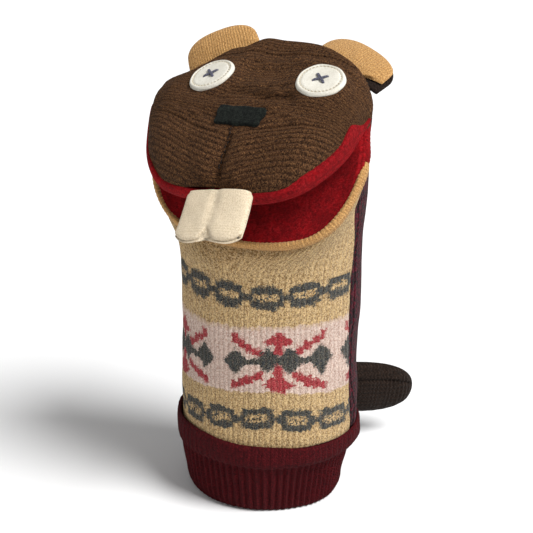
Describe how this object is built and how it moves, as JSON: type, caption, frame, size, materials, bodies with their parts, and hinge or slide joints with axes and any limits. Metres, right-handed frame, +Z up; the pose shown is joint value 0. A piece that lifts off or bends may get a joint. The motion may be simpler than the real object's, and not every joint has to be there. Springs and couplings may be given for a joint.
{
  "type": "hand puppet",
  "caption": "Sewn wool hand puppet of a beaver on a tubular sleeve, with a ribbed cuff, a hinged mouth lined in felt, flap ears, a double-layer tooth flap and a stuffed paddle tail.",
  "frame": {"origin": "centre of the sleeve's round opening, on the surface the cuff stands on", "axes": "+Z up along the sleeve, the face looks along -Y, +X is the puppet's left"},
  "size_m": [0.1236, 0.184, 0.2492],
  "materials": {
    "cuff_rib": "ribbed felted wool",
    "front_knit": "felted wool with a knitted pattern",
    "back_knit": "marled felted wool",
    "tan_knit": "felted wool knit",
    "red_felt": "wool felt",
    "mouth_board": "stiff lining board",
    "brown_knit": "heathered felted wool",
    "dark_brown_knit": "felted wool knit",
    "filling": "loose fibre filling",
    "nose_felt": "wool felt",
    "dark_thread": "thread",
    "cream_felt": "wool felt",
    "grey_thread": "thread",
    "cream_knit": "fine felted knit",
    "cream_thread": "thread"
  },
  "bodies": {
    "sleeve": {"hem_cuff": "cuff_rib", "front_panel_lower": "front_knit", "back_panel_lower": "back_knit", "front_panel_wrist": "front_knit", "back_panel_wrist": "back_knit"},
    "torso": {"front_panel_upper": "front_knit", "back_panel_upper": "back_knit", "front_panel_throat": "front_knit", "back_panel_nape": "back_knit"},
    "lower_jaw": {"lower_jaw_lip": "tan_knit", "lower_mouth_lining": "red_felt", "lower_mouth_board": "mouth_board"},
    "head": {"head_top": "brown_knit", "upper_mouth_lining": "red_felt", "upper_mouth_board": "mouth_board", "snout_filling": "filling", "nose_patch": "nose_felt", "nose_seam": "dark_thread", "left_eye_disc": "cream_felt", "right_eye_disc": "cream_felt", "left_eye_stitch": "grey_thread", "right_eye_stitch": "grey_thread"},
    "left_ear": {"left_ear_front": "tan_knit", "left_ear_back": "dark_brown_knit"},
    "right_ear": {"right_ear_front": "tan_knit", "right_ear_back": "dark_brown_knit"},
    "teeth": {"teeth_front": "cream_knit", "teeth_back": "cream_knit", "teeth_seam": "cream_thread"},
    "tail": {"tail_left_panel": "dark_brown_knit", "tail_right_panel": "dark_brown_knit", "tail_filling": "filling"}
  },
  "joints": [
    {"name": "wrist_nod", "type": "hinge", "parent": "sleeve", "child": "torso", "pos_m": [0, 0, 0.118], "axis": [1, 0, 0], "range_deg": [-18, 20], "deforming": ["front_panel_wrist", "back_panel_wrist"]},
    {"name": "lower_jaw_drop", "type": "hinge", "parent": "torso", "child": "lower_jaw", "pos_m": [0, -0.006, 0.213], "axis": [1, 0, 0], "range_deg": [-9, 14], "deforming": ["front_panel_throat"]},
    {"name": "head_lift", "type": "hinge", "parent": "torso", "child": "head", "pos_m": [0, -0.006, 0.213], "axis": [-1, 0, 0], "range_deg": [-7, 28], "deforming": ["back_panel_nape"]},
    {"name": "left_ear_fold", "type": "hinge", "parent": "head", "child": "left_ear", "pos_m": [0.01, 0.02669, 0.23735], "axis": [0.914, -0.1715, -0.3678], "range_deg": [-6, 24], "stiffness_Nm_per_rad": 0.02},
    {"name": "right_ear_fold", "type": "hinge", "parent": "head", "child": "right_ear", "pos_m": [-0.0227, 0.02452, 0.23707], "axis": [0.8805, 0.2606, 0.3959], "range_deg": [-6, 24], "stiffness_Nm_per_rad": 0.02},
    {"name": "teeth_flick", "type": "hinge", "parent": "head", "child": "teeth", "pos_m": [0.0026, -0.0643, 0.1824], "axis": [-0.9903, 0, -0.1392], "range_deg": [-4, 45], "stiffness_Nm_per_rad": 0.02},
    {"name": "tail_swing", "type": "hinge", "parent": "sleeve", "child": "tail", "pos_m": [0, 0.053, 0.036], "axis": [0, 0, 1], "range_deg": [-30, 115]}
  ]
}
